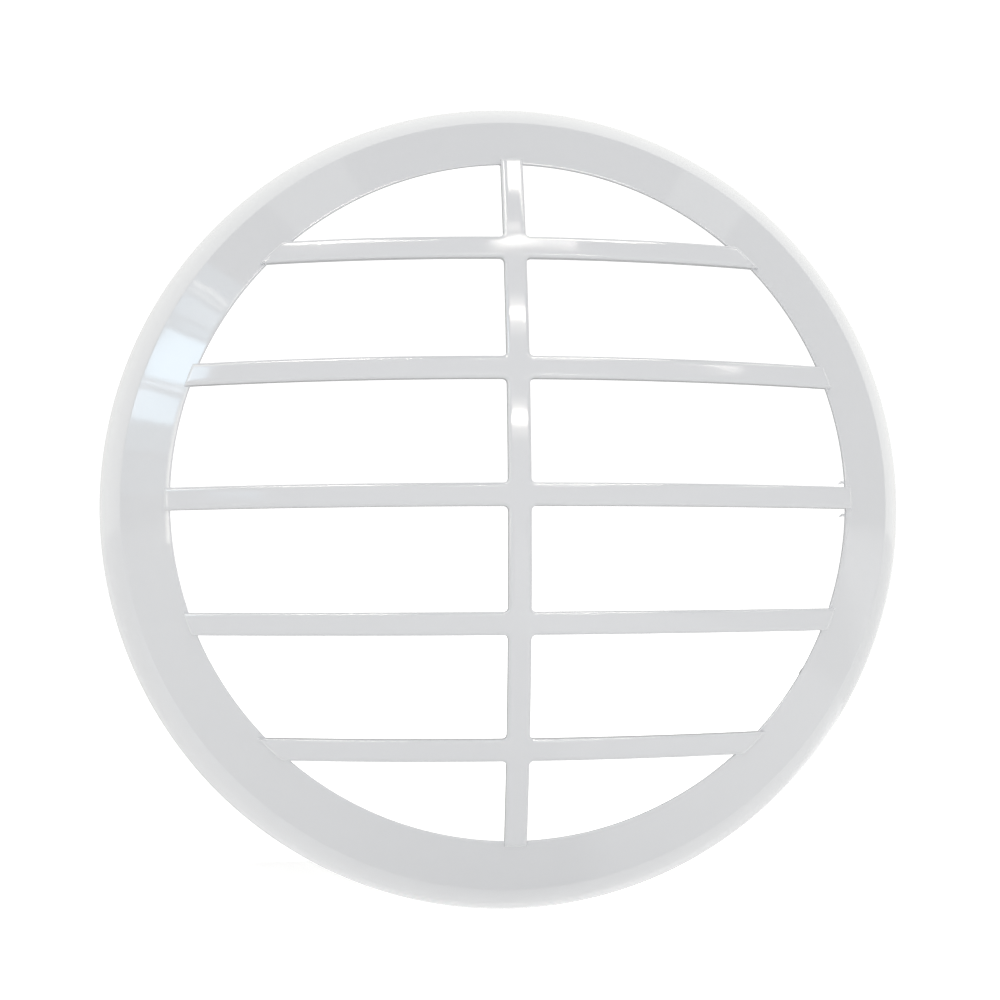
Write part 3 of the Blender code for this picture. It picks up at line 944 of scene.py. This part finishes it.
def lights():
    """A window to the left, tubes above and in front, and lamps round the upper half, for the gloss only."""
    blue, glow = (0.62, 0.84, 1.0), (0.60, 0.85, 1.0)
    sky, warm, plain = (0.78, 0.90, 1.0), (1.0, 0.96, 0.88), (0.96, 1.0, 0.94)
    # The places that the lamps face are in the world, where z points up.
    left, centre = (-0.112, 0, 0.050), (0, 0, 0)
    for name, round_axis, from_axis, colour, radiance, aim in (
        ("window_main", (147.8, 157.3), (53.0, 86.85), blue, 5.4, left),
        ("window_main_dim", (145.9, 147.5), (83.0, 86.0), blue, 1.4, left),
        ("window_frame", (157.75, 158.15), (82.0, 88.0), sky, 7.0, left),
        ("window_low_left", (159.3, 164.0), (85.5, 88.0), sky, 4.9, left),
        ("window_low_right", (159.3, 164.4), (83.0, 85.4), blue, 4.0, left),
        ("window_upper", (142.0, 145.4), (86.4, 87.3), blue, 1.6, left),
        ("window_upper_bright", (142.0, 145.4), (83.0, 86.2), sky, 1.7, left),
        ("window_top_line", (140.75, 141.0), (84.0, 87.6), warm, 5.0, left),
        ("window_top_edge", (139.5, 139.9), (84.0, 87.6), warm, 5.0, left),
        ("window_glow", (136.0, 169.5), (82.0, 96.0), glow, 0.9, centre),
        ("window_faint_glow", (169.5, 176.0), (82.0, 96.0), glow, 0.4, centre),
        ("window_low_glow", (173.3, 175.4), (41.0, 50.0), glow, 2.2, centre),
        ("wall_upper_right", (49.0, 60.0), (86.0, 100.0), plain, 0.45, centre),
        ("wall_upper_left", (111.0, 124.0), (83.0, 97.0), plain, 0.45, centre),
    ):
        panel(name, round_axis, from_axis, colour, radiance, aim)
    middle, near_top = (0, 0, 0.058), (0, 0, 0.085)
    right, far_right = (0.04, 0, 0.042), (0.07, 0, 0.042)
    for name, start, end, thick, radiance, aim in (
        ("near_tube", (-0.16, 0.262, 0.95), (0.36, 0.252, 0.90), 1.1, 38.0, middle),
        ("near_tube_glow", (-0.16, 0.262, 0.95), (0.36, 0.252, 0.90), 3.2, 4.0, middle),
        ("near_tube_halo", (-0.16, 0.262, 0.95), (0.36, 0.252, 0.90), 6.5, 1.8, middle),
        ("middle_tube", (-0.06, 0.565, 0.82), (0.33, 0.54, 0.78), 1.2, 38.0, middle),
        ("middle_tube_glow", (-0.06, 0.565, 0.82), (0.33, 0.54, 0.78), 3.2, 4.0, middle),
        ("middle_tube_halo", (-0.06, 0.565, 0.82), (0.33, 0.54, 0.78), 7.0, 2.2, middle),
        ("far_tube_right", (0.02, 0.735, 0.678), (0.25, 0.716, 0.653), 0.35, 60.0, near_top),
        ("far_tube_glow", (0.0, 0.765, 0.644), (0.12, 0.76, 0.635), 1.8, 4.0, near_top),
        ("far_tube_left", (-0.46, 0.70, 0.55), (-0.13, 0.77, 0.60), 0.6, 60.0, near_top),
        ("right_tube", (0.535, 0.43, 0.74), (0.675, 0.393, 0.628), 0.3, 30.0, right),
        ("right_lamp", (0.615, 0.402, 0.68), (0.672, 0.394, 0.63), 0.45, 20.0, far_right),
    ):
        tube(name, start, end, thick, warm, radiance, aim)
    high_lamps = (
        ((104, 124), 58, 12),
        ((64, 86), 58, 12),
        ((44, 54), 69, 6),
        ((130, 141), 64, 8),
        ((152, 188), 60, 4),
    )
    for number, (round_axis, lowest, radiance) in enumerate(high_lamps, start=1):
        panel(f"high_lamp_{number}", round_axis, (lowest, 82), warm, radiance)


def grey_ramp(tree, stops):
    """A colour ramp through the (place, grey, blueness) stops."""
    made = tree.nodes.new("ShaderNodeValToRGB")
    elements = made.color_ramp.elements
    while len(elements) < len(stops):
        elements.new(1.0)
    for element, (place, grey, blueness) in zip(elements, stops):
        element.position = place
        element.color = (grey, grey, grey * blueness, 1)
    return made


def surroundings():
    """A room darkest straight beside the grille and brightest aslant behind it. The eye sees plain white."""
    world = bpy.data.worlds.new("surroundings")
    bpy.context.scene.world = world
    world.use_nodes = True
    tree = world.node_tree
    tree.nodes.clear()
    link = tree.links.new
    place = tree.nodes.new("ShaderNodeTexCoord")
    parts = tree.nodes.new("ShaderNodeSeparateXYZ")
    link(place.outputs["Generated"], parts.inputs["Vector"])

    # The ramp runs from straight in front of the grille, at 0, to straight behind it, at 1.
    depth = node(tree, "ShaderNodeMapRange", from_min=-1.0, from_max=1.0)
    link(parts.outputs["Y"], depth.inputs["Value"])
    ramp = grey_ramp(
        tree,
        (
            (0.0, 0.72, 0.995),
            (0.15, 0.64, 1.0),
            (0.30, 0.48, 1.0),
            (0.50, 0.36, 0.99),
            (0.60, 0.55, 0.98),
            (0.72, 1.00, 0.97),
            (0.866, 0.86, 0.97),
            (0.97, 0.63, 0.98),
        ),
    )
    link(depth.outputs["Result"], ramp.inputs["Fac"])

    # Soft patches, and a little more light from above and from the right.
    patches = node(tree, "ShaderNodeTexNoise", detail=1.0, scale=2.2)
    link(place.outputs["Generated"], patches.inputs["Vector"])
    uneven = node(tree, "ShaderNodeMapRange", to_min=WORLD_LIGHT * 0.94, to_max=WORLD_LIGHT * 1.06)
    link(patches.outputs["Fac"], uneven.inputs["Value"])
    from_above = node(tree, "ShaderNodeMapRange", from_min=-1.0, from_max=1.0, to_min=0.93, to_max=1.07)
    link(parts.outputs["Z"], from_above.inputs["Value"])
    from_right = node(tree, "ShaderNodeMapRange", from_min=-1.0, to_min=0.96)
    link(parts.outputs["X"], from_right.inputs["Value"])
    slope = product(tree, from_above.outputs["Result"], from_right.outputs["Result"])
    lighting = tree.nodes.new("ShaderNodeBackground")
    link(ramp.outputs["Color"], lighting.inputs["Color"])
    link(product(tree, uneven.outputs["Result"], slope), lighting.inputs["Strength"])

    seen = node(tree, "ShaderNodeBackground", color=(1, 1, 1, 1), strength=WORLD_SEEN_LIGHT)
    path = tree.nodes.new("ShaderNodeLightPath")
    either = tree.nodes.new("ShaderNodeMixShader")
    link(path.outputs["Is Camera Ray"], either.inputs["Fac"])
    link(lighting.outputs["Background"], either.inputs[1])
    link(seen.outputs["Background"], either.inputs[2])
    out = tree.nodes.new("ShaderNodeOutputWorld")
    link(either.outputs["Shader"], out.inputs["Surface"])


def shade_card():
    """A grey round card behind the grille, unseen by the eye, that darkens what the bars' sides mirror."""
    away = (0, CARD_BEHIND, 0)
    card = begin(
        "shade_card",
        bpy.ops.mesh.primitive_circle_add,
        vertices=SMALL_SIDES,
        radius=CARD_RADIUS,
        fill_type="NGON",
        location=away,
        rotation=(pi / 2, 0, 0),
    )
    object_mode()
    card.visible_camera = False
    card.visible_shadow = False
    material = bpy.data.materials.new("dark_card")
    material.use_nodes = True
    shader = material.node_tree.nodes["Principled BSDF"]
    shader.inputs["Base Color"].default_value = (0.3, 0.3, 0.3, 1)
    shader.inputs["Roughness"].default_value = 0.9
    card.data.materials.append(material)


def floor():
    """A plain pale floor below the rim, white enough to run into the surroundings, with a painted glow that
    only glossy rays see.
    """
    drop = cad_box[0].z - FLOOR_DROP
    only_floor = begin("floor", bpy.ops.mesh.primitive_plane_add, size=16, location=(0, 0, drop))
    object_mode()
    material = bpy.data.materials.new("pale_floor")
    material.use_nodes = True
    tree = material.node_tree
    shader = tree.nodes["Principled BSDF"]
    shader.inputs["Base Color"].default_value = (0.9, 0.9, 0.9, 1)
    shader.inputs["Roughness"].default_value = 0.9
    shader.inputs["Emission Color"].default_value = (1, 1, 1, 1)
    link = tree.links.new
    path = tree.nodes.new("ShaderNodeLightPath")
    place = tree.nodes.new("ShaderNodeTexCoord")
    parts = tree.nodes.new("ShaderNodeSeparateXYZ")
    link(place.outputs["Object"], parts.inputs["Vector"])
    # Painted light: the floor glows for glossy rays only, behind the rim and under the rim's right side,
    # which paints brighter reflections into the moulding's gloss.
    depth = node(tree, "ShaderNodeMapRange", from_min=-0.02, from_max=0.98)
    link(parts.outputs["Y"], depth.inputs["Value"])
    behind = grey_ramp(tree, ((0.010, 0.0, 1), (0.022, 0.55, 1), (0.07, 0.5, 1), (0.22, 0.15, 1)))
    link(depth.outputs["Result"], behind.inputs["Fac"])
    right = grey_ramp(tree, ((0.038, 0.0, 1), (0.05, 0.36, 1), (0.34, 0.36, 1), (0.36, 0.0, 1)))
    link(parts.outputs["X"], right.inputs["Fac"])
    painted_glow_mask = node(tree, "ShaderNodeMath", operation="MAXIMUM")
    link(behind.outputs["Color"], painted_glow_mask.inputs[0])
    link(right.outputs["Color"], painted_glow_mask.inputs[1])
    painted_glow_in_gloss = product(tree, path.outputs["Is Glossy Ray"], painted_glow_mask.outputs[0])
    glow = node(tree, "ShaderNodeMath", operation="MULTIPLY_ADD")
    glow.inputs[1].default_value = FLOOR_SEEN_LIGHT
    link(path.outputs["Is Camera Ray"], glow.inputs[0])
    link(painted_glow_in_gloss, glow.inputs[2])
    link(glow.outputs[0], shader.inputs["Emission Strength"])
    only_floor.data.materials.append(material)


def main():
    camera()
    surface = fine_surface()
    plastic = finish(
        "glossy_white_moulding",
        surface,
        low=(0.771, 0.780, 0.803),
        high=(0.783, 0.792, 0.815),
        roughness=(0.065, 0.085),
        bump=0.0001,
        ripple_size=45.0,
        ripple_height=1.0,
        grain_size=1400.0,
        grain_height=0.012,
    )
    zinc = finish(
        "bright_zinc_plate",
        surface,
        low=(0.60, 0.61, 0.62),
        high=(0.74, 0.75, 0.75),
        roughness=(0.22, 0.42),
        bump=0.0001,
        metallic=1.0,
        ripple_size=220.0,
        ripple_height=0.2,
        grain_size=1800.0,
        grain_height=0.25,
    )
    steel = finish(
        "drawn_spring_wire",
        surface,
        low=(0.44, 0.45, 0.47),
        high=(0.60, 0.61, 0.62),
        roughness=(0.18, 0.34),
        bump=0.0001,
        metallic=1.0,
        ripple_size=500.0,
        ripple_height=0.2,
        grain_size=2600.0,
        grain_height=0.15,
    )
    foam = finish(
        "closed_cell_foam",
        surface,
        low=(0.58, 0.58, 0.56),
        high=(0.80, 0.80, 0.78),
        roughness=(0.80, 0.98),
        bump=0.0003,
        ripple_size=300.0,
        ripple_height=0.4,
        grain_size=1500.0,
        grain_height=1.0,
    )
    grille(plastic)
    seal(foam)
    spring_stations(zinc, steel)
    floor()
    shade_card()
    surroundings()
    lights()
    bpy.context.scene.view_settings.view_transform = "Standard"


main()
